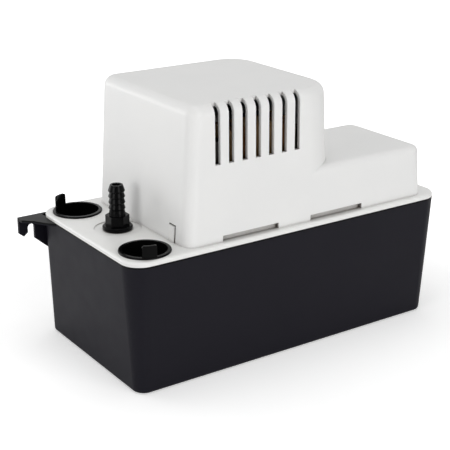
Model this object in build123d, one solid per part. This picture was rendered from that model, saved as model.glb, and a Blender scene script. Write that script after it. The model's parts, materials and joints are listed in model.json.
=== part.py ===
from build123d import *
import math
import os

# Condensate pump: a black tank, a white deck that carries the pump and the motor,
# and a white cover. Millimetres, +Z up, +X along the tank, origin under the tank's middle.

# ---- fits -------------------------------------------------------------------
slip = 0.3                      # gap between parts that lift off each other
fit = 0.05                      # radial clearance of a running or push fit
past = 1.0                      # how far a cut runs past a face, and joined forms into each other
screw_clearance = 0.2

# ---- tank -------------------------------------------------------------------
tank_length = 252.0
tank_width = 127.0
tank_height = 86.5
tank_wall = 2.5
tank_floor = 3.0
tank_corner = 13.8
tank_foot_corner = 8.3
tank_foot_edge = 2.4
tank_back_trim = 0.05           # faced off the back, so that it lies flat on a wall
lean_left, lean_right, lean_front = 4.3, 7.2, 2.9
inner_radius = 1.0              # smallest radius inside a moulded corner

ear_reach = 16.0
ear_wall = 2.5
ear_leg_width = 6.2
ear_slot_width = 5.1
ear_slot_drop = 5.5             # drops are below the tank's rim
ear_leg_drop = 13.7
ear_web_drop = 24.5
ear_web_step = 8.0
ear_point = 2.5
ear_shelf = 1.9
ear_shelf_depth = 27.0
ear_tip_depth, ear_leg_depth, ear_bend_depth = 7.0, 13.0, 22.0
ear_bend_reach = 4.0

# ---- deck -------------------------------------------------------------------
deck_thickness = 3.1
deck_reveal = 0.1
deck_edge = 1.6
skirt_depth = 7.0
skirt_wall = 2.0
deck_under = tank_height
deck_top = deck_under + deck_thickness

# ---- motor cover ------------------------------------------------------------
cover_wall = 2.5
cover_inset_left = 41.8         # from the tank's left end
cover_inset = 4.5               # from the tank's front and back
cover_length = 124.3
cover_height = 88.4             # above the deck
cover_lean_left, cover_lean_right, cover_lean_depth = 5.3, 4.5, 1.0
cover_edge = 7.0
cover_radii = (8.0, 28.0, 22.0, 10.7)          # front left, front right, back right, back left
block_inset_right = 13.0
block_overlap = 40.1            # how far the switch block reaches into the motor block
block_depth = 76.4
block_height = 35.7
block_lean_right = 2.9
block_edge = 4.5
block_corner = 8.0
cover_left = -tank_length / 2 + cover_inset_left
cover_right = cover_left + cover_length
cover_depth = tank_width - 2 * cover_inset
cover_top = deck_top + cover_height
front_y = -cover_depth / 2
block_right = tank_length / 2 - block_inset_right
block_back = front_y + block_depth
block_top = deck_top + block_height

vent_count = 7
vent_width = 4.0
vent_pitch = 10.15
vent_inset = 23.4               # from the cover's left wall, as the notches are
vent_rise = 50.3
vent_wrap = 7.0
notch_height = 3.7
notch_spans = ((26.7, 70.2), (96.4, 140.4))
notch_rib, notch_rib_gap, notch_rib_drop = 2.0, 0.5, 0.6
latch_inset = 17.8
latch_slot_width = 7.6
latch_slot_height = 11.6
latch_gap = 0.8
latch_proud = 0.5
latch_y = front_y + latch_inset

# ---- inlets -----------------------------------------------------------------
inlet_inset_end, inlet_inset_side = 20.0, 18.7
inlet_bore = 28.6
inlet_rim = 33.2
inlet_rim_height = 1.2
inlet_rim_round = 0.6
inlet_sleeve = 31.0
inlet_sleeve_depth = 3.0
tab_width = 9.3
tab_height = 7.6
tab_thickness = 1.4
tab_setback = 0.3
tab_round = 1.5
tab_turn_front, tab_turn_rear = -109.0, 114.0
inlet_x = -tank_length / 2 + inlet_inset_end
inlet_y = tank_width / 2 - inlet_inset_side

# ---- check valve ------------------------------------------------------------
valve_inset_end = 26.0
valve_recess, valve_recess_depth = 31.1, 0.6
valve_flange, valve_flange_foot = 19.8, 14.0
valve_flange_height = 3.0
flange_flare, flange_chamfer = 1.0, 0.8
valve_hex_corners = 15.6
valve_hex_height = 6.9
barb_root, barb_crest, barb_count, barb_pitch = 9.0, 10.9, 4, 3.9
barb_neck, barb_lip, barb_lip_height, barb_slope = 4.7, 0.35, 1.0, 2.9
stem_step, stem_tip = 0.1, 0.4
valve_bore = 5.8
valve_thread = 13.2
valve_stub = 13.6
valve_chamber = 9.6
ball_diameter = 7.0
ball_room = 5.2                 # travel and stops above the ball
stop_sheet, stop_reach, stop_height = 1.2, 0.6, 1.6
seat_bore, seat_height, seat_lead = 5.0, 3.0, 0.9
boss_wall = 3.0
boss_drop = 22.5
oring, oring_play = 1.8, 0.1
valve_x = -tank_length / 2 + valve_inset_end
valve_seat_z = deck_top - valve_recess_depth
boss_foot = deck_under - boss_drop

# ---- motor ------------------------------------------------------------------
motor_from_left, motor_from_front = 62.2, 73.0          # from the cover's walls
stack_height = 28.0
stack_half_width = 38.0
stack_back, pole_front, core_back, core_front = 27.0, -24.0, -44.0, -58.0
leg_width = 12.0
stack_corner, window_corner = 4.0, 1.5
flux_notch = 9.0
air_slot_length, air_slot_width, air_slot_inset = 7.0, 1.6, 0.5
air_slot_turns = (55, 125, 235, 305)
stator_bore = 36.0
rotor_diameter = 35.0
ring_diameter, ring_height = 31.0, 3.0
shaft_diameter = 6.0
shaft_undersize = 0.02
coil_build = 8.5
coil_margin = 0.9
bobbin_play = 0.2
coil_roundness = 0.7            # a coil block's corner radius as a share of its growth
bobbin_wall = 1.2
bobbin_half_length = 25.0
bolt_offset = 31.0
bolt_diameter = 4.0
bolt_head, bolt_head_height = 8.0, 3.5
washer_diameter, washer_height = 9.6, 0.8
bolt_grip = 20.0
post_diameter = 12.0
post_rib, post_rib_reach, post_rib_drop = 2.0, 5.0, 8.0
bridge_sheet = 2.5
bridge_width = 16.0
bridge_rise = 7.0
bridge_foot_gap, bridge_knee, bridge_mitre = 4.5, 1.0, 1.75
bridge_end_gap = 1.0
bridge_cup, bridge_cup_height, bridge_cup_round = 16.0, 9.0, 1.5
bearing_diameter = 10.0
fan_hub, fan_height, fan_blades = 14.0, 6.0, 7
fan_gap = 1.0
fan_sheet, fan_chord, fan_pitch = 1.2, 13.0, 28.0
fan_headroom, fan_side_room = 2.5, 11.0
motor_x = cover_left + motor_from_left
motor_y = front_y + motor_from_front
fan_diameter = 2 * (cover_depth / 2 - motor_y - fan_side_room)
fan_top = cover_top - cover_wall - fan_headroom
stack_top = fan_top - fan_height - fan_gap - bridge_cup_height - bridge_rise
stack_foot = stack_top - stack_height

# ---- pump -------------------------------------------------------------------
column_outer, column_inner = 26.0, 21.0
column_flange, column_flange_height = 44.0, 2.5
column_web, column_web_drop, column_web_inset, column_web_turn = 2.0, 14.0, 2.0, 32.0
column_screw_reach = 5.5
window_width, window_height, window_drop = 8.0, 20.0, 13.5
casing_outer, casing_wall = 56.0, 2.5
casing_foot, casing_height = 12.0, 16.5
outlet_rise, outlet_wall, outlet_inner = 8.0, 2.0, 10.0
outlet_reach = 12.0
lug_circle, lug_diameter = 62.0, 9.0
screw_diameter, screw_head, screw_head_height = 3.0, 5.7, 2.0
casing_screw_grip = 9.0
eye_diameter = 16.0
cover_plate = 3.0
strainer_ribs, strainer_depth, strainer_rib, strainer_gap, strainer_reach = 8, 3.0, 1.8, 0.5, 6.5
impeller_diameter = 45.0
impeller_gap = 2.0
impeller_hub, impeller_disc, impeller_collar = 11.0, 1.5, 2.0
vane_height, vane_count, vane_sheet, vane_sweep = 5.5, 6, 1.4, 62.0
vane_bow_x, vane_bow_y, vane_margin = 11.7, 7.4, 0.4
tube_outer, tube_bore = 12.0, 8.6
tube_bend = 14.0
tube_entry = 10.0
collar_lap = 2.0

# ---- float and switch -------------------------------------------------------
float_y = -18.0
pivot_inset_right, pivot_drop = 96.0, 14.5
float_rest_angle = 28.0
arm_length, arm_height, arm_width = 58.0, 6.0, 9.0
float_length, float_width, float_height = 46.0, 56.0, 22.0
float_round = 3.0
arm_entry, arm_end_gap, arm_eye = 12.0, 0.1, 9.0
pin_diameter, pin_end = 3.0, 1.0
cheek_wall, cheek_gap = 2.5, 0.4
cheek_foot, cheek_root, cheek_eye = 5.0, 9.0, 10.0
bracket_back, bracket_front, bracket_flange = 14.0, 20.0, 9.0
bracket_screw_inset, bracket_screw_side = 4.0, 6.0
rod_reach = 12.0
rod_diameter = 4.0
rod_play, rod_hole_play = 0.1, 1.0
rod_drop, rod_rise = 2.4, 9.6
guide_wall, guide_height = 2.0, 5.0
switch_length, switch_width, switch_height = 27.8, 10.3, 15.9
switch_rise, switch_round = 15.8, 1.0
switch_overhang = 3.5
switch_hole, switch_hole_play = 3.0, 0.1
switch_hole_near, switch_hole_far = (3.0, 3.0), (25.2, 13.3)
hinge_reach, hinge_drop = 40.0, 1.8
hinge_pin, hinge_cheek, hinge_cheek_half, hinge_side_gap = 1.2, 1.8, 2.0, 0.4
lever_length, lever_sheet, lever_width, lever_eye = 29.5, 0.8, 4.5, 2.6
lever_rest_angle = 7.2
plunger_offset, plunger_diameter, plunger_entry, plunger_well = 8.0, 2.4, 5.0, 8.0
terminal_count, terminal_pitch, terminal_rise = 3, 4.6, 3.0
terminal_length, terminal_width, terminal_sheet = 8.0, 4.8, 0.8
terminal_hole, terminal_hole_reach = 1.6, 5.5
bracket_sheet = 1.5
bracket_foot, bracket_foot_screw = 14.0, 7.0
bracket_foot_inset = 5.0
bushing_inset, bushing_bore, bushing_neck, bushing_flange = 18.0, 7.2, 10.0, 14.0
bushing_ends = 2.5
saddle_side, saddle_drop = 0.2, 2.0
pivot_x = tank_length / 2 - pivot_inset_right
pivot_z = deck_under - pivot_drop
rod_x = pivot_x + rod_reach
rod_foot, rod_top = pivot_z - rod_drop, deck_top + rod_rise
switch_foot = deck_top + switch_rise
lever_hinge_x, lever_hinge_z = pivot_x + hinge_reach, switch_foot - hinge_drop
switch_right = lever_hinge_x + switch_overhang
switch_left = switch_right - switch_length
bushing_x = block_right - bushing_inset
bushing_z = deck_top + bushing_flange / 2

os.makedirs("parts", exist_ok=True)
nodes = {}


def outline(x0, x1, y0, y1, radii):
    """Rectangle with its own radius at each corner, from the front left one counter-clockwise."""
    corners = ((x0, y0), (x1, y0), (x1, y1), (x0, y1))
    face = Polygon(*corners, align=None)
    for corner, radius in zip(corners, radii):
        if radius > 0:
            vertex = face.vertices().sort_by_distance((*corner, 0))[0]
            face = fillet(vertex, radius)
    return face


def tapered(low, high, z0, z1):
    """Solid between two outlines."""
    return loft([Pos(0, 0, z0) * low, Pos(0, 0, z1) * high], ruled=True)


def rod_z(diameter, z0, z1, x=0.0, y=0.0):
    """Upright cylinder between two heights."""
    return Pos(x, y, (z0 + z1) / 2) * Cylinder(diameter / 2, z1 - z0)


def rod_y(diameter, y0, y1, x, z):
    """Cylinder along Y."""
    return Pos(x, (y0 + y1) / 2, z) * Rot(90, 0, 0) * Cylinder(diameter / 2, y1 - y0)


def block(x0, x1, y0, y1, z0, z1):
    """Box between two corners."""
    return Pos((x0 + x1) / 2, (y0 + y1) / 2, (z0 + z1) / 2) * Box(x1 - x0, y1 - y0, z1 - z0)


def together(solids):
    """One node of separate solids."""
    return solids[0] + solids[1:]


def round_about(count, first_turn, reach):
    """Evenly spaced points on a circle about the motor's axis."""
    turns = [math.radians(first_turn + 360 * i / count) for i in range(count)]
    return [(reach * math.cos(turn), reach * math.sin(turn)) for turn in turns]


# ---- tank -------------------------------------------------------------------
def tank_section(z, inset=0.0, back_extra=0.0):
    """Outline of the tank's wall at a height, moved in by an inset."""
    drop = 1 - z / tank_height
    radius = tank_corner + (tank_foot_corner - tank_corner) * drop
    return outline(
        -tank_length / 2 + lean_left * drop + inset,
        tank_length / 2 - lean_right * drop - inset,
        -tank_width / 2 + lean_front * drop + inset,
        tank_width / 2 - inset + back_extra,
        [max(radius - inset, inner_radius)] * 4,
    )


def ear():
    """Hanging ear at the left end of the back wall: a web with a slot, a leg and a shelf on top."""
    rim = tank_height
    wall_x = -tank_length / 2
    tip_x = wall_x - ear_reach
    leg_x = tip_x + ear_leg_width
    slot_x = leg_x + ear_slot_width
    root_x = wall_x + lean_left + tank_wall
    back = tank_width / 2
    web_foot, leg_foot = rim - ear_web_drop, rim - ear_leg_drop
    arch_z = rim - ear_slot_drop - ear_slot_width / 2
    web = Polygon(
        (root_x, web_foot), (root_x, rim), (tip_x, rim), (tip_x, leg_foot + ear_point),
        (tip_x + ear_leg_width / 2, leg_foot), (leg_x, leg_foot + ear_point), (leg_x, arch_z),
        (slot_x, arch_z), (slot_x, web_foot + ear_web_step), (wall_x + lean_left, web_foot), align=None,
    )
    web -= Pos((leg_x + slot_x) / 2, arch_z) * Circle(ear_slot_width / 2)
    plate = extrude(Plane.XZ.offset(-back) * web, ear_wall)
    shelf = Polygon(
        (tip_x, back), (tip_x, back - ear_tip_depth), (leg_x, back - ear_leg_depth),
        (wall_x - ear_bend_reach, back - ear_bend_depth), (wall_x + past, back - ear_shelf_depth),
        (wall_x + past, back), align=None,
    )
    return plate + extrude(Pos(0, 0, rim - ear_shelf) * shelf, ear_shelf)


def make_tank():
    foot, rim = tank_section(0, 0, tank_back_trim), tank_section(tank_height, 0, tank_back_trim)
    shell = tapered(foot, rim, 0, tank_height)
    shell = fillet(shell.faces().sort_by(Axis.Z)[0].edges(), tank_foot_edge)
    shell -= block(-tank_length, tank_length, tank_width / 2, tank_width, -past, tank_height + past)
    left = ear()
    shell += left + mirror(left, Plane.YZ)
    cavity = tapered(tank_section(tank_floor, tank_wall), tank_section(tank_height, tank_wall),
                     tank_floor, tank_height)
    cavity += extrude(Pos(0, 0, tank_height) * tank_section(tank_height, tank_wall), past)
    return shell - cavity


# ---- deck -------------------------------------------------------------------
def latch_tongue(wall_x, side):
    """Tongue that stands in the cover's side slot."""
    outer = wall_x + side * latch_proud
    inner = wall_x - side * cover_wall
    half = latch_slot_width / 2 - latch_gap
    return block(min(outer, inner), max(outer, inner), latch_y - half, latch_y + half,
                 deck_top - past, deck_top + latch_slot_height - latch_gap)


def motor_post(x):
    """Post with crossed ribs that takes one of the motor's bolts."""
    post_top = stack_foot - bridge_sheet
    rib_top = post_top - post_rib_drop
    post = rod_z(post_diameter, deck_top - past, post_top, x, motor_y)
    for turn in (45, 135):
        rib = Box(post_diameter + 2 * post_rib_reach, post_rib, rib_top - deck_top + past)
        post += Pos(x, motor_y, (deck_top - past + rib_top) / 2) * Rot(0, 0, turn) * rib
    return post - rod_z(bolt_diameter + 2 * fit, post_top - bolt_grip, post_top + past, x, motor_y)


def skirt():
    """Rim below the deck that centres it in the tank, open round the inlets."""
    foot = deck_under - skirt_depth
    inset = tank_wall + slip
    ring = tank_section(foot, inset) - tank_section(foot, inset + skirt_wall)
    return extrude(Pos(0, 0, foot) * ring, skirt_depth + past)


def make_deck():
    plate = extrude(Pos(0, 0, deck_under) * tank_section(tank_height, deck_reveal), deck_thickness)
    deck = fillet(plate.faces().sort_by(Axis.Z)[-1].edges(), deck_edge) + skirt()
    for side in (-1, 1):
        deck += motor_post(motor_x + side * bolt_offset)
    deck -= rod_z(column_inner, deck_under - past, deck_top + past, motor_x, motor_y)
    deck += rod_z(valve_thread + 2 * boss_wall, boss_foot, deck_under + past, valve_x, 0)
    deck -= rod_z(valve_recess, valve_seat_z, deck_top + past, valve_x, 0)
    deck -= rod_z(valve_thread + 2 * fit, boss_foot - past, deck_top, valve_x, 0)
    deck -= rod_z(valve_thread + 2 * oring + slip * 2, valve_seat_z - oring, deck_top, valve_x, 0)
    hole = inlet_sleeve + 2 * slip
    for y in (-inlet_y, inlet_y):
        deck -= rod_z(hole, deck_under - past, deck_top + past, inlet_x, y)
        deck -= rod_z(hole + 2 * skirt_wall, deck_under - skirt_depth - past, deck_under, inlet_x, y)
    guide_top = deck_top + guide_height
    deck += rod_z(rod_diameter + 2 * guide_wall, deck_top - past, guide_top, rod_x, float_y)
    deck -= rod_z(rod_diameter + 2 * rod_play, deck_under - past, guide_top + past, rod_x, float_y)
    for wall_x, side in ((cover_left, -1), (block_right, 1)):
        deck += latch_tongue(wall_x, side)
    rib_y = front_y + cover_wall + slip
    for start, end in notch_spans:
        deck += block(cover_left + start + notch_rib_gap, cover_left + end - notch_rib_gap,
                      rib_y, rib_y + notch_rib, deck_top - past, deck_top + notch_height - notch_rib_drop)
    half = bushing_neck / 2 - saddle_side
    saddle = block(bushing_x - half, bushing_x + half, block_back - cover_wall, block_back,
                   deck_top - past, bushing_z - saddle_drop)
    return deck + (saddle - bushing_hole(bushing_neck + 2 * fit))


def bushing_hole(diameter):
    """Round hole for the bushing through the back wall of the switch block."""
    return rod_y(diameter, block_back - 2 * cover_wall, block_back + cover_wall, bushing_x, bushing_z)


nodes["tank"] = make_tank()
nodes["deck"] = make_deck()


# ---- motor cover ------------------------------------------------------------
def tall_block(inset):
    """Motor block of the cover; the inside is the same form moved in by the wall."""
    top = cover_top - inset
    share = (top - deck_top) / cover_height
    radii = [max(radius - inset, inner_radius) for radius in cover_radii]
    low = outline(cover_left + inset, cover_right - inset, front_y + inset, -front_y - inset, radii)
    high = outline(
        cover_left + inset + cover_lean_left * share,
        cover_right - inset - cover_lean_right * share,
        front_y + inset + cover_lean_depth * share,
        -front_y - inset - cover_lean_depth * share,
        radii,
    )
    body = tapered(low, high, deck_top, top)
    return fillet(body.faces().sort_by(Axis.Z)[-1].edges(), cover_edge - inset)


def low_block(inset):
    """Switch block of the cover, flush with the motor block's front wall."""
    top = block_top - inset
    front_lean = cover_lean_depth * (top - deck_top) / cover_height
    start = cover_right - block_overlap
    radii = [0, block_corner - inset, block_corner - inset, 0]
    low = outline(start, block_right - inset, front_y + inset, block_back - inset, radii)
    high = outline(start, block_right - inset - block_lean_right,
                   front_y + inset + front_lean, block_back - inset - front_lean, radii)
    body = tapered(low, high, deck_top, top)
    edges = body.faces().sort_by(Axis.Z)[-1].edges().sort_by(Axis.X)[1:]
    return fillet(edges, block_edge - inset)


def make_cover():
    shell = tall_block(0) + low_block(0)
    shell -= tall_block(cover_wall) + low_block(cover_wall)
    for i in range(vent_count):
        x = cover_left + vent_inset + i * vent_pitch
        shell -= block(x - vent_width / 2, x + vent_width / 2, front_y - past, front_y + vent_wrap,
                       deck_top + vent_rise, cover_top + past)
    for start, end in notch_spans:
        shell -= block(cover_left + start, cover_left + end, front_y - past,
                       front_y + cover_wall + past, deck_top - past, deck_top + notch_height)
    for wall_x in (cover_left, block_right):
        half = latch_slot_width / 2
        shell -= block(wall_x - 2 * cover_wall, wall_x + 2 * cover_wall, latch_y - half, latch_y + half,
                       deck_top - past, deck_top + latch_slot_height)
    half = bushing_neck / 2 + slip
    shell -= bushing_hole(2 * half)
    return shell - block(bushing_x - half, bushing_x + half, block_back - 2 * cover_wall,
                         block_back + cover_wall, deck_top - past, bushing_z)


# ---- inlets -----------------------------------------------------------------
def inlet_adapter(y, tab_turn):
    """Ring that drops into a deck hole, with a finger tab on its rim."""
    sleeve_foot = deck_top - inlet_sleeve_depth
    rim_top = deck_top + inlet_rim_height
    tab_top = rim_top + tab_height
    rim = rod_z(inlet_rim, deck_top, rim_top)
    rim = fillet(rim.edges().filter_by(GeomType.CIRCLE).sort_by(Axis.Z)[-1], inlet_rim_round)
    ring = rim + rod_z(inlet_sleeve, sleeve_foot, deck_top + past)
    ring -= rod_z(inlet_bore, sleeve_foot - past, rim_top + past)
    tab_inside = inlet_bore + 2 * tab_setback
    tab = rod_z(tab_inside + 2 * tab_thickness, deck_top + past, tab_top)
    tab &= block(0, inlet_rim, -tab_width / 2, tab_width / 2, deck_top, tab_top + past)
    tab = fillet(tab.edges().filter_by(Axis.X).sort_by(Axis.Z)[-2:], tab_round)
    tab -= rod_z(tab_inside, deck_top, tab_top + past)
    ring += Rot(0, 0, tab_turn) * tab
    return Pos(inlet_x, y, 0) * ring


# ---- check valve ------------------------------------------------------------
def valve_profile(stub_foot, flange_top, hex_top, stem_top):
    """Right half of the valve body's turned outline, from the stub up to the barbs."""
    rim, stem = valve_flange / 2, barb_crest / 2 - stem_step
    points = [
        (0, stub_foot), (valve_thread / 2, stub_foot), (valve_thread / 2, valve_seat_z),
        (valve_flange_foot / 2, valve_seat_z), (rim, valve_seat_z + flange_flare),
        (rim, flange_top - flange_chamfer), (rim - flange_chamfer, flange_top),
        (stem, flange_top), (stem, hex_top + barb_lip_height),
    ]
    for i in range(barb_count):
        crest_z = hex_top + barb_neck + i * barb_pitch
        points += [(barb_root / 2 + barb_lip, crest_z - barb_lip_height), (barb_crest / 2, crest_z),
                   (barb_root / 2, crest_z + barb_slope)]
    return points + [(barb_root / 2 - stem_tip, stem_top), (0, stem_top)]


def make_valve():
    """Barbed body with a ball chamber in its stub, the seat and ball in it, and the flange's seal."""
    flange_top = valve_seat_z + valve_flange_height
    hex_top = flange_top + valve_hex_height
    stub_foot = valve_seat_z - valve_stub
    stem_top = hex_top + barb_neck + barb_count * barb_pitch
    seat_top = stub_foot + seat_height
    chamber_top = seat_top + ball_diameter + ball_room
    profile = valve_profile(stub_foot, flange_top, hex_top, stem_top)
    body = revolve(Plane.XZ * Polygon(*profile, align=None), Axis.Z)
    hexagon = RegularPolygon(valve_hex_corners / 2, 6, rotation=30)
    body += Pos(0, 0, flange_top - past) * extrude(hexagon, valve_hex_height + past)
    body -= rod_z(valve_bore, chamber_top - past, stem_top + past)
    body -= rod_z(valve_chamber, stub_foot - past, chamber_top)
    for turn in (0, 120, 240):
        stop = block(valve_bore / 2 - stop_reach, valve_chamber / 2 + stop_reach, -stop_sheet / 2,
                     stop_sheet / 2, chamber_top - stop_height, chamber_top + stop_reach)
        body += Rot(0, 0, turn) * stop
    seat = rod_z(valve_chamber - 2 * fit, stub_foot, seat_top)
    seat -= rod_z(seat_bore, stub_foot - past, seat_top + past)
    seat -= Pos(0, 0, seat_top - seat_lead / 2) * Cone(seat_bore / 2, seat_bore / 2 + seat_lead, seat_lead)
    ball_z = seat_top - seat_lead - seat_bore / 2 + (ball_diameter / 2 + fit) * math.sqrt(2)
    ball = Pos(0, 0, ball_z) * Sphere(ball_diameter / 2)
    seal_radius = valve_thread / 2 + oring / 2 + oring_play
    seal = Pos(0, 0, valve_seat_z - oring / 2) * Torus(seal_radius, oring / 2 - fit)
    return {"valve_body": body, "valve_seat": seat, "valve_ball": ball, "valve_oring": seal}


nodes["motor_cover"] = make_cover()
nodes["inlet_adapter_front"] = inlet_adapter(-inlet_y, tab_turn_front)
nodes["inlet_adapter_rear"] = inlet_adapter(inlet_y, tab_turn_rear)
for name, solid in make_valve().items():
    nodes[name] = Pos(valve_x, 0, 0) * solid


# ---- motor ------------------------------------------------------------------
def make_laminations():
    """C-shaped stack: pole piece round the bore, two legs, and the core that the coil sits on."""
    w = stack_half_width
    profile = outline(-w, w, core_front, stack_back, [stack_corner] * 4)
    profile -= outline(-w + leg_width, w - leg_width, core_back, pole_front, [window_corner] * 4)
    profile -= Circle(stator_bore / 2)
    for side in (-1, 1):
        profile -= Pos(side * bolt_offset, 0) * Circle(bolt_diameter / 2 + screw_clearance)
        profile -= Pos(side * w, stack_back) * Rot(0, 0, 45) * Rectangle(flux_notch, flux_notch)
    reach = stator_bore / 2 - air_slot_inset
    for angle in air_slot_turns:
        turn = math.radians(angle)
        slot = Pos(reach * math.cos(turn), reach * math.sin(turn)) * Rot(0, 0, angle)
        profile -= slot * Rectangle(air_slot_length, air_slot_width)
    return extrude(Pos(0, 0, stack_foot) * profile, stack_height)


def coil_ring(grow, half_length):
    """Rounded block round the coil core, grown past it on all sides."""
    mid_y, mid_z = (core_front + core_back) / 2, stack_foot + stack_height / 2
    round_off = max(grow * coil_roundness, bobbin_play)
    section = RectangleRounded(core_back - core_front + 2 * grow, stack_height + 2 * grow, round_off)
    return Pos(-half_length, mid_y, mid_z) * extrude(Plane.YZ * section, 2 * half_length)


def make_coil():
    """Flanged bobbin on the core, and the wire block wound on it."""
    spool_grow = bobbin_play + bobbin_wall
    spool = coil_ring(spool_grow, bobbin_half_length)
    for side in (-1, 1):
        flange_x = side * (bobbin_half_length - bobbin_wall / 2)
        spool += Pos(flange_x, 0, 0) * coil_ring(coil_build, bobbin_wall / 2)
    winding = coil_ring(coil_build - coil_margin, bobbin_half_length - bobbin_wall)
    return (spool - coil_ring(bobbin_play, bobbin_half_length + past),
            winding - coil_ring(spool_grow, bobbin_half_length))


def bridge(facing):
    """Sheet bridge across the stack with a bearing cup; facing is -1 below the stack and 1 above."""
    w, rise, t, m = stack_half_width - bridge_end_gap, bridge_rise, bridge_sheet, bridge_mitre
    foot_x, knee_x = stator_bore / 2 + bridge_foot_gap, stator_bore / 2 - bridge_knee
    line = Polygon((-w, 0), (-foot_x, 0), (-knee_x, rise), (knee_x, rise), (foot_x, 0), (w, 0),
                   (w, t), (foot_x + m, t), (knee_x + m, rise + t), (-knee_x - m, rise + t),
                   (-foot_x - m, t), (-w, t), align=None)
    sheet = extrude(Plane.XZ.offset(-bridge_width / 2) * line, bridge_width)
    cup_top = rise + bridge_cup_height
    cup = rod_z(bridge_cup, rise, cup_top)
    sheet += fillet(cup.edges().sort_by(Axis.Z)[-1], bridge_cup_round)
    sheet -= rod_z(bearing_diameter, rise - past, cup_top + past)
    for side in (-1, 1):
        sheet -= rod_z(bolt_diameter + 2 * screw_clearance, -past, t + past, side * bolt_offset, 0)
    if facing < 0:
        return Pos(0, 0, stack_foot) * mirror(sheet, Plane.XY)
    return Pos(0, 0, stack_top) * sheet


def bearing(z0):
    z1 = z0 + bridge_cup_height
    return rod_z(bearing_diameter, z0, z1) - rod_z(shaft_diameter + 2 * fit, z0 - past, z1 + past)


def make_bolts():
    """Two through bolts, from the upper bridge into the deck's posts."""
    bolts = []
    head_foot = stack_top + bridge_sheet
    thread_foot = stack_foot - bridge_sheet - bolt_grip + past
    for side in (-1, 1):
        x = side * bolt_offset
        bolt = rod_z(bolt_diameter, thread_foot, head_foot + past, x, 0)
        bolt += Pos(x, 0, head_foot) * extrude(RegularPolygon(bolt_head / 2, 6), bolt_head_height)
        bolts.append(bolt + rod_z(washer_diameter, head_foot, head_foot + washer_height, x, 0))
    return together(bolts)


def make_rotor():
    core = rod_z(rotor_diameter, stack_foot, stack_top)
    core += rod_z(ring_diameter, stack_foot - ring_height, stack_top + ring_height)
    return core - rod_z(shaft_diameter, stack_foot - stack_height, stack_top + stack_height)


def make_fan():
    """Hub with pitched blades, as a stamped and twisted sheet fan."""
    foot = fan_top - fan_height
    hub = rod_z(fan_hub, foot, fan_top)
    root = fan_hub / 2 - past
    span = fan_diameter / 2 - root
    blade = Pos(root + span / 2, 0, 0) * Rot(fan_pitch, 0, 0) * Box(span, fan_chord, fan_sheet)
    disc = rod_z(fan_diameter, foot, fan_top)
    for i in range(fan_blades):
        hub += (Rot(0, 0, 360 * i / fan_blades) * Pos(0, 0, foot + fan_height / 2) * blade) & disc
    return hub - rod_z(shaft_diameter, foot - past, fan_top + past)


# ---- pump -------------------------------------------------------------------
def rods_about(points, diameter, z0, z1):
    """One rod or hole at each point."""
    return together([rod_z(diameter, z0, z1, x, y) for x, y in points])


lug_points = round_about(3, 30, lug_circle / 2)
flange_points = round_about(4, 0, column_outer / 2 + column_screw_reach)
flange_foot = deck_under - column_flange_height
casing_top = casing_foot + casing_height
outlet_z = casing_foot + outlet_rise


def outlet_rod(diameter):
    """Rod along the casing's outlet, from its mouth to inside the casing."""
    x0, x1 = -casing_outer / 2 - outlet_reach, -outlet_inner
    return Pos((x0 + x1) / 2, -motor_y, outlet_z) * Rot(0, 90, 0) * Cylinder(diameter / 2, x1 - x0)


def make_column():
    """Casing with its outlet, the column that carries it and the flange under the deck."""
    body = rod_z(column_outer, casing_top - past, deck_under)
    body += rod_z(column_flange, flange_foot, deck_under)
    body += rod_z(casing_outer, casing_foot, casing_top)
    body += rods_about(lug_points, lug_diameter, casing_foot, casing_top)
    web_foot, web_tip = flange_foot - column_web_drop, column_flange / 2 - column_web_inset
    for turn in (45, 135, 225, 315):
        web = block(column_outer / 2 - past, web_tip, -column_web / 2, column_web / 2, web_foot, flange_foot)
        slope = Rot(0, -column_web_turn, 0) * Box(column_outer / 2, 2 * column_web, tank_height)
        body += Rot(0, 0, turn) * (web - Pos(web_tip, 0, web_foot) * slope)
    body += outlet_rod(tube_outer + 2 * outlet_wall)
    body -= rod_z(casing_outer - 2 * casing_wall, casing_foot - past, casing_top - casing_wall)
    body -= rod_z(column_inner, casing_top - casing_wall - past, deck_under + past)
    body -= outlet_rod(tube_outer + 2 * fit)
    window_top = flange_foot - window_drop
    for turn in (30, 150, 270):
        window = block(0, column_outer, -window_width / 2, window_width / 2,
                       window_top - window_height, window_top)
        body -= Rot(0, 0, turn) * window
    body -= rods_about(lug_points, screw_diameter + 2 * fit, casing_foot - past,
                       casing_foot + casing_screw_grip + past)
    return body - rods_about(flange_points, screw_diameter + 2 * screw_clearance,
                             flange_foot - past, deck_under + past)


def column_screws():
    """Screws up through the column's flange into the deck."""
    shanks = rods_about(flange_points, screw_diameter, flange_foot - past, deck_under)
    return shanks + rods_about(flange_points, screw_head, flange_foot - screw_head_height, flange_foot)


def make_casing_cover():
    """Plate that closes the casing, with the pump's eye and the strainer's ribs round it."""
    plate_foot = casing_foot - cover_plate
    plate = rod_z(casing_outer, plate_foot, casing_foot)
    plate += rods_about(lug_points, lug_diameter, plate_foot, casing_foot)
    plate -= rod_z(eye_diameter, plate_foot - past, casing_foot + past)
    plate -= rods_about(lug_points, screw_diameter + 2 * screw_clearance, plate_foot - past, casing_foot + past)
    rib_start = eye_diameter / 2 + strainer_gap
    rib = block(rib_start, rib_start + strainer_reach, -strainer_rib / 2, strainer_rib / 2,
                plate_foot - strainer_depth, plate_foot + past)
    for i in range(strainer_ribs):
        plate += Rot(0, 0, 360 * i / strainer_ribs) * rib
    return plate


def casing_screws():
    head_top = casing_foot - cover_plate
    shanks = rods_about(lug_points, screw_diameter, head_top - past, casing_foot + casing_screw_grip)
    return shanks + rods_about(lug_points, screw_head, head_top - screw_head_height, head_top)


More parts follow.
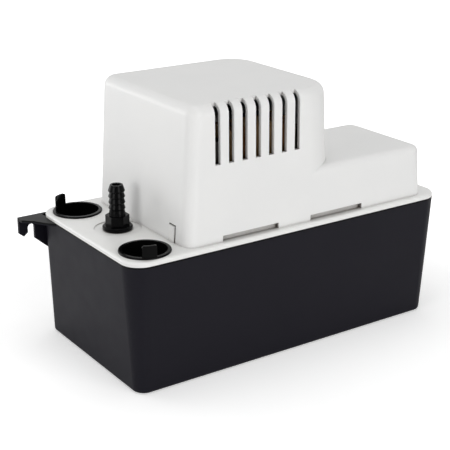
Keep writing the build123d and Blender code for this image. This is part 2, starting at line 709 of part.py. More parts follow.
def make_impeller():
    """Disc with curved vanes that face the eye below it."""
    vane_foot = casing_foot + impeller_gap
    disc_foot = vane_foot + vane_height
    collar_top = disc_foot + impeller_disc + impeller_collar
    wheel = rod_z(impeller_diameter, disc_foot, disc_foot + impeller_disc)
    wheel += rod_z(impeller_hub, vane_foot, collar_top)
    tip, sweep_turn = impeller_diameter / 2 - vane_margin, math.radians(vane_sweep)
    curve = ThreePointArc((impeller_hub / 2 - past, 0), (vane_bow_x, vane_bow_y),
                          (tip * math.cos(sweep_turn), tip * math.sin(sweep_turn)))
    vane = extrude(Pos(0, 0, vane_foot) * trace(curve, vane_sheet), vane_height + impeller_disc / 2)
    for i in range(vane_count):
        wheel += Rot(0, 0, 360 * i / vane_count) * vane
    return wheel - rod_z(shaft_diameter, vane_foot - past, collar_top + past)


def make_tube():
    """Discharge tube from the casing's outlet up into the boss below the check valve."""
    start_x = motor_x - casing_outer / 2 - outlet_reach + tube_entry
    top = valve_seat_z - valve_stub - slip
    path = Polyline((start_x, 0, outlet_z), (valve_x, 0, outlet_z), (valve_x, 0, top))
    path = fillet(path.vertices().sort_by_distance((valve_x, 0, outlet_z))[0], tube_bend)
    ends = Plane(origin=path @ 0, z_dir=path % 0)
    tube = sweep(ends * Circle(tube_outer / 2), path) - sweep(ends * Circle(tube_bore / 2), path)
    collar_foot = boss_foot - collar_lap
    collar = rod_z(valve_thread, collar_foot, top, valve_x, 0)
    return tube + (collar - rod_z(tube_bore, collar_foot - past, top + past, valve_x, 0))


at_motor = Pos(motor_x, motor_y, 0)
bobbin, winding = make_coil()
motor_solids = {
    "stator_laminations": make_laminations(),
    "coil_bobbin": bobbin,
    "coil_winding": winding,
    "lower_bridge": bridge(-1),
    "upper_bridge": bridge(1),
    "lower_bearing": bearing(stack_foot - bridge_rise - bridge_cup_height),
    "upper_bearing": bearing(stack_top + bridge_rise),
    "motor_bolts": make_bolts(),
    "rotor": make_rotor(),
    "cooling_fan": make_fan(),
    "shaft": rod_z(shaft_diameter - shaft_undersize, casing_foot + impeller_gap, fan_top),
    "pump_column": make_column(),
    "column_screws": column_screws(),
    "casing_cover": make_casing_cover(),
    "casing_screws": casing_screws(),
    "impeller": make_impeller(),
}
for name, solid in motor_solids.items():
    nodes[name] = at_motor * solid
nodes["discharge_tube"] = make_tube()


# ---- float and switch -------------------------------------------------------
def swung(solid):
    """Place a solid, modelled level about the pivot, at the float's lowest angle."""
    return Pos(pivot_x, float_y, pivot_z) * Rot(0, float_rest_angle, 0) * solid


def make_float():
    body = Pos(arm_length, 0, 0) * Box(float_length, float_width, float_height)
    body = fillet(body.edges(), float_round)
    face_x = arm_length - float_length / 2
    return body - block(face_x - past, face_x + arm_entry, -arm_width / 2 - fit, arm_width / 2 + fit,
                        -arm_height / 2 - fit, arm_height / 2 + fit)


def make_arm():
    end = arm_length - float_length / 2 + arm_entry - arm_end_gap
    arm = block(0, end, -arm_width / 2, arm_width / 2, -arm_height / 2, arm_height / 2)
    arm += rod_y(arm_eye, -arm_width / 2, arm_width / 2, 0, 0)
    return arm - rod_y(pin_diameter + 2 * fit, -arm_width, arm_width, 0, 0)


def make_float_bracket():
    """Plate under the deck with two cheeks that hold the float's pin."""
    inner = arm_width / 2 + cheek_gap
    outer = inner + cheek_wall
    reach = inner + bracket_flange
    bracket = block(-bracket_back, bracket_front, -reach, reach, deck_under - cheek_wall, deck_under)
    bracket -= rod_z(rod_diameter + 2 * rod_hole_play, deck_under - cheek_wall - past,
                     deck_under + past, rod_reach, 0)
    profile = Polygon((-cheek_foot, pivot_z), (cheek_foot, pivot_z), (cheek_root, deck_under),
                      (-cheek_root, deck_under), align=None)
    for y0, y1 in ((-outer, -inner), (inner, outer)):
        bracket += extrude(Plane.XZ.offset(-y1) * profile, cheek_wall)
        bracket += rod_y(cheek_eye, y0, y1, 0, pivot_z)
    bracket -= rod_y(pin_diameter + 2 * fit, -reach, reach, 0, pivot_z)
    return Pos(pivot_x, float_y, 0) * bracket


def bracket_screws():
    """Four screws that hold the float's bracket to the deck."""
    side = arm_width / 2 + cheek_gap + bracket_screw_side
    head_top = deck_under - cheek_wall
    points = [(pivot_x + x, float_y + y)
              for x in (-bracket_back + bracket_screw_inset, bracket_front - bracket_screw_inset)
              for y in (-side, side)]
    return rods_about(points, screw_head, head_top - screw_head_height, head_top)


def make_lever():
    """Sheet lever hinged under the switch, resting above the push rod."""
    half = lever_width / 2
    lever = block(-lever_length, 0, -half, half, -lever_sheet / 2, lever_sheet / 2)
    lever += rod_y(lever_eye, -half, half, 0, 0)
    lever -= rod_y(hinge_pin + 2 * fit, -lever_width, lever_width, 0, 0)
    return Pos(lever_hinge_x, float_y, lever_hinge_z) * Rot(0, -lever_rest_angle, 0) * lever


switch_near, switch_far = float_y - switch_width / 2, float_y + switch_width / 2
switch_top = switch_foot + switch_height
switch_holes = [(switch_left + x, switch_foot + z) for x, z in (switch_hole_near, switch_hole_far)]


def holes_through_switch(diameter, y0, y1):
    """Rods or holes along the switch's two screws."""
    return together([rod_y(diameter, y0, y1, x, z) for x, z in switch_holes])


def make_switch():
    """Snap switch with two cheeks that hold the lever's pin, two screw holes and a plunger hole."""
    body = block(switch_left, switch_right, switch_near, switch_far, switch_foot, switch_top)
    body = fillet(body.edges().filter_by(Axis.Y), switch_round)
    cheek_y = lever_width / 2 + hinge_side_gap
    for y0, y1 in ((-cheek_y - hinge_cheek, -cheek_y), (cheek_y, cheek_y + hinge_cheek)):
        body += block(lever_hinge_x - hinge_cheek_half, lever_hinge_x + hinge_cheek_half,
                      float_y + y0, float_y + y1, lever_hinge_z - hinge_cheek_half, switch_foot + past)
    pin_reach = cheek_y + hinge_cheek
    body += rod_y(hinge_pin, float_y - pin_reach, float_y + pin_reach, lever_hinge_x, lever_hinge_z)
    body -= rod_z(plunger_diameter + 2 * fit, switch_foot - past, switch_foot + plunger_well,
                  lever_hinge_x - plunger_offset, float_y)
    return body - holes_through_switch(switch_hole + switch_hole_play, switch_near - past, switch_far + past)


def make_plunger():
    """Button between the lever and the inside of the switch."""
    lever_z = lever_hinge_z - plunger_offset * math.tan(math.radians(lever_rest_angle))
    return rod_z(plunger_diameter, lever_z + lever_sheet / 2 + slip, switch_foot + plunger_entry,
                 lever_hinge_x - plunger_offset, float_y)


def make_terminals():
    """Blades for the leads on the end of the switch."""
    blades = []
    half_width, half_sheet = terminal_width / 2, terminal_sheet / 2
    for i in range(terminal_count):
        z = switch_foot + terminal_rise + terminal_pitch * i
        blade = block(switch_right, switch_right + terminal_length, float_y - half_width,
                      float_y + half_width, z - half_sheet, z + half_sheet)
        blades.append(blade - rod_z(terminal_hole, z - past, z + past, switch_right + terminal_hole_reach, float_y))
    return together(blades)


def make_switch_bracket():
    """Folded sheet: a foot on the deck and an upright that the switch is screwed to."""
    sheet = block(switch_left, switch_right, switch_far, switch_far + bracket_sheet, deck_top, switch_top)
    sheet += block(switch_left, switch_right, switch_far, switch_far + bracket_foot,
                   deck_top, deck_top + bracket_sheet)
    return sheet - holes_through_switch(switch_hole + switch_hole_play, switch_far - past,
                                        switch_far + bracket_sheet + past)


def switch_screws():
    """Two screws through the switch and two that hold the bracket's foot."""
    nut_face = switch_far + bracket_sheet
    screws = holes_through_switch(switch_hole, switch_near - past, nut_face + past)
    screws += holes_through_switch(screw_head, switch_near - screw_head_height, switch_near)
    screws += holes_through_switch(screw_head, nut_face, nut_face + screw_head_height)
    foot_top = deck_top + bracket_sheet
    points = [(x, nut_face + bracket_foot_screw)
              for x in (switch_left + bracket_foot_inset, switch_right - bracket_foot_inset)]
    return screws + rods_about(points, screw_head, foot_top, foot_top + screw_head_height)


def make_bushing():
    """Grooved bushing for the supply cord, held between the deck's saddle and the cover's notch."""
    y0, y1 = block_back - cover_wall - slip, block_back + slip
    body = rod_y(bushing_neck, y0 - bushing_ends, y1 + bushing_ends, bushing_x, bushing_z)
    body += rod_y(bushing_flange, y0 - bushing_ends, y0, bushing_x, bushing_z)
    body += rod_y(bushing_flange, y1, y1 + bushing_ends, bushing_x, bushing_z)
    return body - rod_y(bushing_bore, y0 - bushing_flange, y1 + bushing_flange, bushing_x, bushing_z)


pin_half = arm_width / 2 + cheek_gap + cheek_wall + pin_end
push_rod = rod_z(rod_diameter, rod_foot, rod_top, rod_x, float_y)
nodes["float"] = swung(make_float())
nodes["float_arm"] = swung(make_arm())
nodes["float_bracket"] = make_float_bracket()
nodes["bracket_screws"] = bracket_screws()
nodes["float_pin"] = rod_y(pin_diameter, float_y - pin_half, float_y + pin_half, pivot_x, pivot_z)
nodes["push_rod"] = fillet(push_rod.edges().filter_by(GeomType.CIRCLE), rod_diameter / 2 - rod_play)
nodes["switch_body"] = make_switch()
nodes["switch_lever"] = make_lever()
nodes["switch_plunger"] = make_plunger()
nodes["switch_terminals"] = make_terminals()
nodes["switch_bracket"] = make_switch_bracket()
nodes["switch_screws"] = switch_screws()
nodes["cord_bushing"] = make_bushing()

for name, solid in nodes.items():
    export_step(solid, f"parts/{name}.step")
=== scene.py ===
import json
import math

import bmesh
import bpy
from mathutils import Matrix, Vector

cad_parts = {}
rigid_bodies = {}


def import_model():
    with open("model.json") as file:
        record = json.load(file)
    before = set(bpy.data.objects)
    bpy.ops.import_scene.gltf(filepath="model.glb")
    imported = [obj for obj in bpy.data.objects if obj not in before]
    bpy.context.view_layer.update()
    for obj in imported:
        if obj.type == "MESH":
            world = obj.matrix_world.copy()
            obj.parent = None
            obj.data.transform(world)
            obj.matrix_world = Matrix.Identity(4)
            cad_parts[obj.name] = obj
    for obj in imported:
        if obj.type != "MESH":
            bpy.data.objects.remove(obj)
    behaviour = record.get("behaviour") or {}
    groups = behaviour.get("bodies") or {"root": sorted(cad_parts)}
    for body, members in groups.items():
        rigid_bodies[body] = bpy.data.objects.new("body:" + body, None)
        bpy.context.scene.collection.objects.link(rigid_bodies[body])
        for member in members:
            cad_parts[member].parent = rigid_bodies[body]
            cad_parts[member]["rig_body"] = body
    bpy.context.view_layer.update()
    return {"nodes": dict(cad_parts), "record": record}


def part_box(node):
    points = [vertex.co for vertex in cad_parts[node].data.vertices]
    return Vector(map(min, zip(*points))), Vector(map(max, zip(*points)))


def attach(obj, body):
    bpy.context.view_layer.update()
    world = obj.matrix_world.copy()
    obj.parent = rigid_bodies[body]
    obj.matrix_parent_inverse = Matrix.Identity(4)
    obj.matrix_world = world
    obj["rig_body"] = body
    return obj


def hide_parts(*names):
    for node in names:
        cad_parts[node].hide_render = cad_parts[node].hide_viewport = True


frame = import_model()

MM = 0.001
scene = bpy.context.scene
nodes = frame["nodes"]

# ---- camera: place in metres, turn and dip in degrees, lens and sensor in millimetres ----
camera_place = (-0.4315, -0.6104, 0.3423)
camera_turn = 34.25
camera_dip = 19.94
camera_lens = 90.81
camera_sensor = 36.0

# ---- sizes and shares used in several places (sizes in metres) ---------------------
weld = 0.004 * MM                            # vertices nearer than this are merged
crevice_reach = 7 * MM
crevice_shut, crevice_open = 0.2, 0.64       # openness at which the painted crevice shade is full, and gone
# width and soft edge of the painted shade band along the tank's top, under the deck's edge
rim_line_width, rim_line_soft = 1.3 * MM, 0.3 * MM
flow_size, sheen_size = 45 * MM, 12 * MM
sheen_spread = 0.06                          # how far a plastic's roughness wanders either way
corner_steps = 7                             # stretches in each corner of a turn of wire or tape


def srgb(red, green, blue):
    """Linear colour of an 8-bit display colour."""
    def line(value):
        share = value / 255
        return share / 12.92 if share <= 0.04045 else ((share + 0.055) / 1.055) ** 2.4
    return (line(red), line(green), line(blue), 1.0)


def add_node(tree, kind, **settings):
    """New node of a kind in a tree, with its properties set."""
    node = tree.nodes.new(kind)
    for key, value in settings.items():
        setattr(node, key, value)
    return node


# ---- materials ----------------------------------------------------------------
class Recipe:
    """A material being put together: short calls add nodes and links."""

    def __init__(self, name):
        self.material = bpy.data.materials.new(name)
        self.material.use_nodes = True
        self.tree = self.material.node_tree
        self.tree.nodes.clear()
        self.output = self.add("ShaderNodeOutputMaterial")
        self.shader = self.add("ShaderNodeBsdfPrincipled")
        self.link(self.shader.outputs["BSDF"], self.output.inputs["Surface"])
        self.place = self.add("ShaderNodeTexCoord").outputs["Object"]

    def add(self, kind, **settings):
        return add_node(self.tree, kind, **settings)

    def link(self, source, target):
        self.tree.links.new(source, target)

    def noise(self, size, detail=3.0, roughness=0.5, stretch=None):
        """Noise whose grains are about size metres across."""
        node = self.add("ShaderNodeTexNoise")
        node.inputs["Scale"].default_value = 1.0 / size
        node.inputs["Detail"].default_value = detail
        node.inputs["Roughness"].default_value = roughness
        source = self.place
        if stretch:
            mapping = self.add("ShaderNodeMapping")
            mapping.inputs["Scale"].default_value = stretch
            self.link(self.place, mapping.inputs["Vector"])
            source = mapping.outputs["Vector"]
        self.link(source, node.inputs["Vector"])
        return node.outputs["Fac"]

    def ramp(self, source, stops):
        """Colour that goes through (place, colour) stops."""
        node = self.add("ShaderNodeValToRGB")
        for index, (where, colour) in enumerate(stops):
            if index < 2:
                element = node.color_ramp.elements[index]
                element.position = where
            else:
                element = node.color_ramp.elements.new(where)
            element.color = colour
        self.link(source, node.inputs["Fac"])
        return node.outputs["Color"]

    def span(self, source, low, high):
        """Value from 0 to 1 spread between low and high."""
        node = self.add("ShaderNodeMapRange")
        node.inputs["To Min"].default_value = low
        node.inputs["To Max"].default_value = high
        self.link(source, node.inputs["Value"])
        return node.outputs["Result"]

    def crevices(self, colour, tint, reach):
        """Colour that falls to a tint in tight corners, as painted shade where the corners are closed."""
        closed = self.add("ShaderNodeAmbientOcclusion", samples=8)
        closed.inputs["Distance"].default_value = reach
        return self.fade(closed.outputs["AO"], crevice_shut, crevice_open, tint, colour)

    def top_line(self, colour, tint, height, soft):
        """Colour that turns to a tint above a height, for a painted band of shade."""
        parts = self.add("ShaderNodeSeparateXYZ")
        self.link(self.place, parts.inputs["Vector"])
        return self.fade(parts.outputs["Z"], height + soft, height, tint, colour)

    def fade(self, value, tint_end, colour_end, tint, colour):
        """Mix of a fixed tint and a colour, by where a value lies between two ends."""
        share = self.add("ShaderNodeMapRange")
        share.inputs["From Min"].default_value = tint_end
        share.inputs["From Max"].default_value = colour_end
        self.link(value, share.inputs["Value"])
        mix = self.add("ShaderNodeMix", data_type="RGBA")
        colours = [socket for socket in mix.inputs if socket.type == "RGBA"]
        self.link(share.outputs["Result"], mix.inputs["Factor"])
        colours[0].default_value = tint
        self.link(colour, colours[1])
        return next(socket for socket in mix.outputs if socket.type == "RGBA")

    def bump(self, *layers):
        """Stack of (height, depth in metres) layers of relief."""
        normal = None
        for height, depth in layers:
            node = self.add("ShaderNodeBump")
            node.inputs["Distance"].default_value = depth
            node.inputs["Strength"].default_value = 1.0
            self.link(height, node.inputs["Height"])
            if normal:
                self.link(normal, node.inputs["Normal"])
            normal = node.outputs["Normal"]
        self.link(normal, self.shader.inputs["Normal"])


def scaled(colour, factor):
    """Lighter or darker shade of a colour."""
    return tuple(min(channel * factor, 1.0) for channel in colour[:3]) + (1.0,)


def moulded_plastic(name, colour, rough, grain=0.6, depth=0.02, mottling=0.03, gloss=0.5, warmth=0.0,
                    corner_shade=None, rim=None):
    """Injection-moulded plastic: fine grain (size and depth in mm), slow flow mottling, uneven sheen, and
    painted shade in tight corners where a tint for it is given.
    """
    recipe = Recipe(name)
    warm = (colour[0] * (1 + warmth), colour[1], colour[2] * (1 - warmth), 1.0)
    flow = recipe.noise(flow_size, 4.0)
    stops = ((0.3, scaled(colour, 1 - mottling)), (0.7, scaled(warm, 1 + mottling)))
    tone = recipe.ramp(flow, stops)
    # painted shade: the colour darkens to a brown tint in tight corners and where parts meet
    if corner_shade:
        tone = recipe.crevices(tone, corner_shade, crevice_reach)
    # painted shade: a dark band along the top, standing in for the shade under the deck's edge
    if rim:
        tone = recipe.top_line(tone, painted_rim_shade, rim, rim_line_soft)
    recipe.link(tone, recipe.shader.inputs["Base Color"])
    fine = recipe.noise(grain * MM, 2.0, 0.6)
    sheen = recipe.span(recipe.noise(sheen_size, 3.0), rough - sheen_spread, rough + sheen_spread)
    recipe.link(sheen, recipe.shader.inputs["Roughness"])
    recipe.bump((fine, depth * MM), (flow, depth * MM * 1.5))
    recipe.shader.inputs["Specular IOR Level"].default_value = gloss
    return recipe.material


def plated_metal(name, colour, rough, brushed=(1.0, 1.0, 1.0), mottling=0.12):
    """Plated or turned metal: cloudy tone, and scratches that brushed stretches along the axes."""
    recipe = Recipe(name)
    cloud = recipe.noise(6 * MM, 4.0)
    stops = ((0.3, scaled(colour, 1 - mottling)), (0.72, scaled(colour, 1 + mottling)))
    recipe.link(recipe.ramp(cloud, stops), recipe.shader.inputs["Base Color"])
    scratch = recipe.noise(0.9 * MM, 3.0, 0.7, brushed)
    recipe.link(recipe.span(scratch, rough - 0.1, rough + 0.12), recipe.shader.inputs["Roughness"])
    recipe.bump((scratch, 0.02 * MM))
    recipe.shader.inputs["Metallic"].default_value = 1.0
    return recipe.material


def enamelled_copper(name):
    """Magnet wire under varnish: copper whose tone changes from turn to turn."""
    recipe = Recipe(name)
    along_the_turns = (6.0, 0.05, 0.05)
    tone = recipe.noise(6 * MM, 2.0, 0.5, along_the_turns)
    stops = ((0.2, srgb(104, 68, 40)), (0.5, srgb(134, 90, 54)), (0.8, srgb(158, 112, 70)))
    recipe.link(recipe.ramp(tone, stops), recipe.shader.inputs["Base Color"])
    recipe.shader.inputs["Metallic"].default_value = 0.85
    recipe.link(recipe.span(recipe.noise(2 * MM), 0.22, 0.42), recipe.shader.inputs["Roughness"])
    recipe.bump((recipe.noise(0.6 * MM, 2.0), 0.03 * MM))
    return recipe.material


def soft_rubber(name, colour):
    """Dull moulded rubber with a dusty tone."""
    recipe = Recipe(name)
    tone = recipe.noise(3 * MM, 4.0)
    stops = ((0.3, scaled(colour, 0.8)), (0.7, scaled(colour, 1.25)))
    recipe.link(recipe.ramp(tone, stops), recipe.shader.inputs["Base Color"])
    recipe.link(recipe.span(tone, 0.6, 0.75), recipe.shader.inputs["Roughness"])
    recipe.bump((recipe.noise(0.5 * MM), 0.02 * MM))
    return recipe.material


# painted shade: the brown tint that tight corners of the white mouldings darken to
crevice_shade_brown = srgb(74, 58, 46)
cover_white = srgb(235, 235, 234)
deck_white = srgb(238, 238, 236)
tank_black = srgb(23, 22, 30)
# painted shade: the near-black of the band painted along the tank's top, under the deck's edge
painted_rim_shade = srgb(4, 4, 5)
rim_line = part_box("tank")[1][2] - rim_line_width
finishes = {
    "cover_plastic": moulded_plastic("cover_white_grained", cover_white, 0.42, grain=0.7, mottling=0.01,
                                     gloss=0.45, warmth=0.003, corner_shade=crevice_shade_brown),
    "deck_plastic": moulded_plastic("deck_white_satin", deck_white, 0.36, grain=0.9, depth=0.01,
                                    mottling=0.01, warmth=0.003, corner_shade=crevice_shade_brown),
    "tank_plastic": moulded_plastic("tank_black_grained", tank_black, 0.42, mottling=0.05, gloss=0.14,
                                    warmth=0.02, rim=rim_line),
    "inlet_plastic": moulded_plastic("inlet_black_satin", srgb(7, 7, 7), 0.2, depth=0.01, mottling=0.08,
                                     gloss=0.09),
    "valve_plastic": moulded_plastic("valve_black_nylon", srgb(6, 6, 7), 0.2, grain=0.5, depth=0.01,
                                     mottling=0.08, gloss=0.08),
    "seal_rubber": soft_rubber("seal_black_rubber", srgb(28, 28, 28)),
    "lamination_steel": plated_metal("lamination_steel_blued", srgb(88, 85, 82), 0.45, (1, 1, 12), 0.08),
    "bobbin_plastic": moulded_plastic("bobbin_amber_nylon", srgb(150, 118, 74), 0.45, grain=0.8),
    "copper_winding": enamelled_copper("winding_enamelled_copper"),
    "zinc_plate": plated_metal("bracket_zinc_plated", srgb(196, 198, 194), 0.36, mottling=0.04),
    "bearing_bronze": plated_metal("bearing_sintered_bronze", srgb(176, 132, 72), 0.5),
    "rotor_metal": plated_metal("rotor_turned_alloy", srgb(168, 168, 170), 0.38, (1, 1, 9)),
    "fan_metal": plated_metal("fan_stamped_aluminium", srgb(205, 206, 208), 0.3, (6, 1, 1)),
    "shaft_steel": plated_metal("shaft_ground_steel", srgb(176, 177, 180), 0.22, (1, 1, 0.3)),
    "pump_plastic": moulded_plastic("pump_white_acetal", srgb(216, 216, 211), 0.4, grain=0.8),
    "impeller_plastic": moulded_plastic("impeller_dark_nylon", srgb(44, 44, 47), 0.42, mottling=0.06),
    "float_plastic": moulded_plastic("float_grey_polypropylene", srgb(196, 200, 203), 0.5, grain=0.8,
                                     depth=0.03, mottling=0.04),
    "switch_plastic": moulded_plastic("switch_black_phenolic", srgb(30, 29, 29), 0.38, grain=0.5,
                                      mottling=0.07),
    "plunger_plastic": moulded_plastic("plunger_red_acetal", srgb(176, 34, 28), 0.35, grain=0.5,
                                       mottling=0.05),
    "terminal_brass": plated_metal("terminal_brass", srgb(206, 176, 104), 0.3),
    "bushing_plastic": moulded_plastic("bushing_black_nylon", srgb(26, 26, 26), 0.5, depth=0.03,
                                       mottling=0.08),
}
slot_of = {part["node"]: part["material_slot"] for part in frame["record"]["subparts"]}


def finish_with(piece, slot_name):
    """Paint a piece with one slot's finish alone."""
    piece.data.materials.clear()
    piece.data.materials.append(finishes[slot_name])


for node_name, node in nodes.items():
    finish_with(node, slot_of[node_name])


# ---- shaping helpers ------------------------------------------------------------
def placed(name, mesh):
    """Object of a mesh, in the scene."""
    piece = bpy.data.objects.new(name, mesh)
    scene.collection.objects.link(piece)
    return piece


def settle(piece, body, slot_name, *stands_for):
    """Give a shaped piece its finish, its body and the nodes that it stands for."""
    finish_with(piece, slot_name)
    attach(piece, body)
    if stands_for:
        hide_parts(*stands_for)


def joined_copy(node_name):
    """Editable copy of a CAD node's mesh with its loose triangles joined."""
    work = bmesh.new()
    work.from_mesh(nodes[node_name].data)
    bmesh.ops.remove_doubles(work, verts=work.verts, dist=weld)
    return work


def mesh_of(work, name, smooth=True):
    """Plain mesh of an editable one, with its faces outward."""
    bmesh.ops.recalc_face_normals(work, faces=work.faces)
    mesh = bpy.data.meshes.new(name)
    work.to_mesh(mesh)
    work.free()
    for face in mesh.polygons:
        face.use_smooth = smooth
    return mesh


def apply_modifiers(piece):
    """Apply the modifiers and leave a plain mesh."""
    graph = bpy.context.evaluated_depsgraph_get()
    mesh = bpy.data.meshes.new_from_object(piece.evaluated_get(graph))
    piece.modifiers.clear()
    piece.data = mesh


def moulded_copy(node_name, edge, flat=0.6, crease=32.0, steps=2):
    """Copy of a CAD node with its flat faces joined and its sharp edges rounded by edge metres."""
    work = joined_copy(node_name)
    bmesh.ops.dissolve_limit(work, angle_limit=math.radians(flat), use_dissolve_boundaries=False,
                             verts=work.verts, edges=work.edges)
    mesh = bpy.data.meshes.new(node_name + "_dressed")
    work.to_mesh(mesh)
    work.free()
    piece = placed(node_name + "_dressed", mesh)
    for face in mesh.polygons:
        face.use_smooth = True
    bevel = piece.modifiers.new("rounded_edges", "BEVEL")
    bevel.width = edge
    bevel.segments = steps
    bevel.limit_method = "ANGLE"
    bevel.angle_limit = math.radians(crease)
    bevel.harden_normals = False
    weighted = piece.modifiers.new("flat_faces_stay_flat", "WEIGHTED_NORMAL")
    weighted.keep_sharp = False
    weighted.weight = 60
    apply_modifiers(piece)
    settle(piece, nodes[node_name]["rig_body"], slot_of[node_name], node_name)


# ---- mouldings and pressings with softened edges ------------------------------------
edge_radii = {                   # in millimetres
    "tank": 0.5, "deck": 0.35, "motor_cover": 0.35, "valve_body": 0.2,
    "inlet_adapter_front": 0.3, "inlet_adapter_rear": 0.3,
    "pump_column": 0.35, "casing_cover": 0.3, "coil_bobbin": 0.25, "switch_body": 0.3,
    "lower_bridge": 0.12, "upper_bridge": 0.12, "switch_bracket": 0.12, "float_bracket": 0.12,
}
for moulding, edge_radius in edge_radii.items():
    moulded_copy(moulding, edge_radius * MM)


def hang_sleeve(piece, node_name, drop):
    """Lengthen an inlet ring's sleeve into the tank: its dark bore stands in for the shade inside the
    tank and hides the tank's lit inside.
    """
    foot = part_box(node_name)[0][2]
    foot_band = 0.6 * MM
    for vertex in piece.data.vertices:
        if vertex.co.z < foot + foot_band:
            vertex.co.z -= drop


# the lengthened sleeves are dark pieces put where the tank's inside is only in shade
sleeve_drop = 9 * MM
for inlet in ("inlet_adapter_front", "inlet_adapter_rear"):
    hang_sleeve(bpy.data.objects[inlet + "_dressed"], inlet, sleeve_drop)


# ---- sheets and turns, repeated with Geometry Nodes -----------------------------------
def make_repeater():
    """Node group that lines up copies of a mesh, each shifted a little at random."""
    group = bpy.data.node_groups.new("repeat_in_line", "GeometryNodeTree")
    face = group.interface
    face.new_socket("Geometry", in_out="INPUT", socket_type="NodeSocketGeometry")
    for label, kind in (("Count", "Int"), ("Step", "Vector"), ("Wobble", "Vector"), ("Seed", "Int"),
                        ("Finish", "Material")):
        face.new_socket(label, in_out="INPUT", socket_type="NodeSocket" + kind)
    face.new_socket("Geometry", in_out="OUTPUT", socket_type="NodeSocketGeometry")

    def add(kind, **settings):
        return add_node(group, kind, **settings)

    given, result = add("NodeGroupInput"), add("NodeGroupOutput")
    line = add("GeometryNodeMeshLine", mode="OFFSET")
    copies = add("GeometryNodeInstanceOnPoints")
    mirror = add("ShaderNodeVectorMath", operation="SCALE")
    mirror.inputs["Scale"].default_value = -1.0
    chance = add("FunctionNodeRandomValue", data_type="FLOAT_VECTOR")
    shift = add("GeometryNodeTranslateInstances")
    solid = add("GeometryNodeRealizeInstances")
    paint = add("GeometryNodeSetMaterial")
    for source, target in (
            (given.outputs["Count"], line.inputs["Count"]),
            (given.outputs["Step"], line.inputs["Offset"]),
            (line.outputs["Mesh"], copies.inputs["Points"]),
            (given.outputs["Geometry"], copies.inputs["Instance"]),
            (given.outputs["Wobble"], mirror.inputs[0]),
            (mirror.outputs["Vector"], chance.inputs["Min"]),
            (given.outputs["Wobble"], chance.inputs["Max"]),
            (given.outputs["Seed"], chance.inputs["Seed"]),
            (copies.outputs["Instances"], shift.inputs["Instances"]),
            (chance.outputs["Value"], shift.inputs["Translation"]),
            (shift.outputs["Instances"], solid.inputs["Geometry"]),
            (solid.outputs["Geometry"], paint.inputs["Geometry"]),
            (given.outputs["Finish"], paint.inputs["Material"]),
            (paint.outputs["Geometry"], result.inputs["Geometry"])):
        group.links.new(source, target)
    return group


repeater = make_repeater()


def repeated(name, unit, count, step, wobble, seed, node_name):
    """Line of count copies of a unit mesh as one plain piece that stands for a CAD node."""
    slot_name = slot_of[node_name]
    piece = placed(name, unit)
    grower = piece.modifiers.new("copies", "NODES")
    grower.node_group = repeater
    values = {"Count": count, "Step": step, "Wobble": wobble, "Seed": seed, "Finish": finishes[slot_name]}
    for item in repeater.interface.items_tree:
        if item.in_out == "INPUT" and item.name in values:
            grower[item.identifier] = values[item.name]
    apply_modifiers(piece)
    settle(piece, nodes[node_name]["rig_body"], slot_name, node_name)


def make_stack_sheets(sheet_pitch, sheet_gap):
    """The motor's stack as separate punched sheets, cut from the outline of its top face."""
    low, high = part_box("stator_laminations")
    work = joined_copy("stator_laminations")
    facing_up = 0.99
    spare = [face for face in work.faces
             if face.normal.z < facing_up or face.calc_center_median().z < high[2] - sheet_gap]
    bmesh.ops.delete(work, geom=spare, context="FACES")
    count = round((high[2] - low[2]) / sheet_pitch)
    pitch = (high[2] - low[2]) / count
    for vertex in work.verts:
        vertex.co.z = low[2] + pitch - sheet_gap / 2
    raised = bmesh.ops.extrude_face_region(work, geom=work.faces[:])
    lower = [item for item in raised["geom"] if isinstance(item, bmesh.types.BMVert)]
    for vertex in lower:
        vertex.co.z = low[2] + sheet_gap / 2
    unit = mesh_of(work, "stack_sheet", smooth=False)
    wobble = sheet_gap / 3
    repeated("stack_sheets", unit, count, step=(0, 0, pitch), wobble=(wobble, wobble, 0), seed=3,
             node_name="stator_laminations")


def ring_path(half_y, half_z, corner):
    """Points round a rounded rectangle in the YZ plane, with their outward directions."""
    points = []
    for index, (side_y, side_z) in enumerate(((1, 1), (-1, 1), (-1, -1), (1, -1))):
        for step in range(corner_steps + 1):
            turn = math.radians(90 * (index + step / corner_steps))
            away = Vector((0, math.cos(turn), math.sin(turn)))
            centre = Vector((0, side_y * (half_y - corner), side_z * (half_z - corner)))
            points.append((centre + away * corner, away))
    return points


def stitch(work, rings):
    """Faces between each closed ring of vertices and the next, and from the last to the first."""
    for index, ring in enumerate(rings):
        following = rings[(index + 1) % len(rings)]
        for step, vertex in enumerate(ring):
            other = (step + 1) % len(ring)
            work.faces.new((vertex, ring[other], following[other], following[step]))


def wire_turn(middle, size, wire, corner):
    """Mesh of one closed turn of wire round the coil."""
    radius, facets = wire / 2, 8
    work = bmesh.new()
    rings = []
    for point, away in ring_path(size.y / 2 - radius, size.z / 2 - radius, corner - radius):
        ring = []
        for facet in range(facets):
            turn = 2 * math.pi * facet / facets
            offset = away * (radius * math.cos(turn)) + Vector((radius * math.sin(turn), 0, 0))
            ring.append(work.verts.new(middle + point + offset))
        rings.append(ring)
    stitch(work, rings)
    return mesh_of(work, "wire_turn")


def lay_bed(centre, size, wire, body):
    """Copper under the turns of wire, shrunk so that they stand proud of it."""
    sunk = 0.8 * wire
    narrow = Matrix.Diagonal((1 - wire / size.x, 1 - 2 * sunk / size.y, 1 - 2 * sunk / size.z, 1))
    shrink = Matrix.Translation(centre) @ narrow @ Matrix.Translation(-centre)
    bed = joined_copy("coil_winding")
    bmesh.ops.transform(bed, matrix=shrink, verts=bed.verts)
    settle(placed("winding_bed", mesh_of(bed, "winding_bed")), body, "copper_winding")


